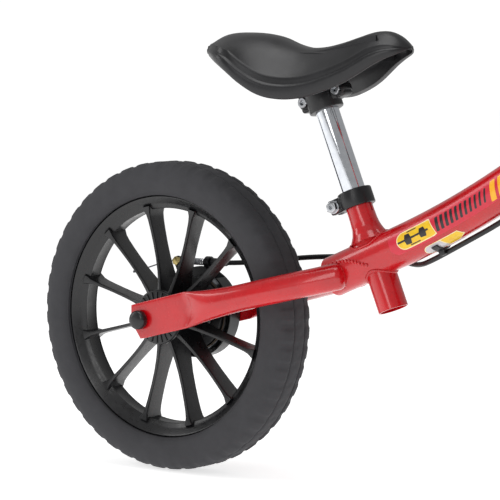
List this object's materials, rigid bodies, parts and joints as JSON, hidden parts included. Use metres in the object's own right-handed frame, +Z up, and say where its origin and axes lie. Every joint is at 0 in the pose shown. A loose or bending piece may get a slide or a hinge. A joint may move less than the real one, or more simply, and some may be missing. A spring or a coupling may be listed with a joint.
{
  "type": "balance bike",
  "caption": "Child's balance bike with a curved steel frame, bladed wheels on solid foam tyres, a rear band brake worked by a hand lever and an adjustable moulded saddle.",
  "frame": {"origin": "on the ground, midway between the two wheels, in the bike's middle plane", "axes": "+X forward, +Y to the rider's left, +Z up"},
  "size_m": [0.854, 0.394, 0.5384],
  "materials": {
    "red_paint": "gloss red powder coat on steel tube",
    "foam_tyre": "matte charcoal solid foam",
    "black_moulding": "semi-gloss black nylon moulding",
    "saddle_plastic": "satin black moulded plastic",
    "grip_rubber": "matte black rubber",
    "black_steel": "satin black coated steel",
    "black_alloy": "satin black cast aluminium",
    "zinc_steel": "bright zinc plated steel",
    "yellow_zinc": "yellow passivated zinc",
    "chromed_tube": "polished chrome on steel tube",
    "lining": "friction lining",
    "cable_housing": "black plastic cable housing"
  },
  "bodies": {
    "frame": {"main_tube": "red_paint", "head_tube": "red_paint", "seat_tube": "red_paint", "seat_tube_stub": "red_paint", "right_stay": "red_paint", "left_stay": "red_paint", "seat_collar": "black_steel", "seat_collar_bolt": "zinc_steel", "seat_collar_nut": "zinc_steel", "headset_lower_cup": "black_steel", "headset_upper_cup": "black_steel", "rear_axle": "zinc_steel", "rear_axle_nuts": "zinc_steel", "rear_axle_caps": "black_moulding", "rear_spacers": "zinc_steel", "brake_cover": "black_steel", "brake_band": "zinc_steel", "brake_lining": "lining", "barrel_adjuster": "black_alloy", "brake_spring": "zinc_steel", "brake_wire": "zinc_steel", "brake_cable": "cable_housing", "cable_clips": "black_moulding"},
    "rear_wheel": {"rear_tyre": "foam_tyre", "rear_wheel": "black_moulding", "rear_bearings": "zinc_steel", "brake_drum": "black_steel"},
    "brake_arm": {"brake_arm": "black_steel", "cable_anchor_bolt": "yellow_zinc", "cable_tail": "zinc_steel"},
    "seat": {"seat_post": "chromed_tube", "saddle": "saddle_plastic", "saddle_clamp": "black_moulding", "saddle_screws": "zinc_steel"},
    "fork": {"fork_steerer": "red_paint", "right_fork_leg": "red_paint", "left_fork_leg": "red_paint", "headset_race": "black_steel", "headset_top_race": "black_steel", "headset_locknut": "black_steel", "front_axle": "zinc_steel", "front_axle_nuts": "zinc_steel", "front_axle_caps": "black_moulding", "front_spacers": "zinc_steel", "brake_cable_lower": "cable_housing"},
    "front_wheel": {"front_tyre": "foam_tyre", "front_wheel": "black_moulding", "front_bearings": "zinc_steel"},
    "handlebar": {"stem": "black_alloy", "stem_wedge": "black_alloy", "stem_bolt": "zinc_steel", "stem_clamp_bolt": "black_alloy", "handlebar": "black_steel", "right_grip": "grip_rubber", "left_grip": "grip_rubber", "lever_bracket": "black_alloy", "lever_adjuster": "black_alloy", "lever_fasteners": "zinc_steel", "brake_cable_upper": "cable_housing"},
    "lever": {"brake_lever": "black_alloy"}
  },
  "joints": [
    {"name": "rear_wheel_spin", "type": "hinge", "parent": "frame", "child": "rear_wheel", "pos_m": [-0.275, 0, 0.152], "axis": [0, 1, 0], "continuous": true},
    {"name": "seat_height", "type": "slide", "parent": "frame", "child": "seat", "axis": [-0.3795, 0, 0.9252], "range_m": [-0.04, 0.03]},
    {"name": "steering", "type": "hinge", "parent": "frame", "child": "fork", "pos_m": [0.16402, 0, 0.3466], "axis": [-0.3746, 0, 0.9272], "range_deg": [-45, 45], "deforming": ["brake_cable_lower"]},
    {"name": "handlebar_height", "type": "slide", "parent": "fork", "child": "handlebar", "axis": [-0.3746, 0, 0.9272], "range_m": [-0.015, 0.025], "deforming": ["brake_cable_upper"]},
    {"name": "front_wheel_spin", "type": "hinge", "parent": "fork", "child": "front_wheel", "pos_m": [0.275, 0, 0.152], "axis": [0, 1, 0], "continuous": true},
    {"name": "lever_pull", "type": "hinge", "parent": "handlebar", "child": "lever", "pos_m": [0.1559, -0.104, 0.50877], "axis": [-0.5, 0, -0.866], "range_deg": [0, 18], "stiffness_Nm_per_rad": 0.4, "springref_deg": -8.59},
    {"name": "brake_arm_swing", "type": "hinge", "parent": "frame", "child": "brake_arm", "pos_m": [-0.297, 0.0421, 0.188], "axis": [0, 1, 0], "range_deg": [0, 10], "stiffness_Nm_per_rad": 0.1, "springref_deg": -5.73, "deforming": ["brake_spring", "brake_wire"]}
  ],
  "couplings": [
    {"joint": "brake_arm_swing", "follows": "lever_pull", "ratio": 0.53}
  ]
}
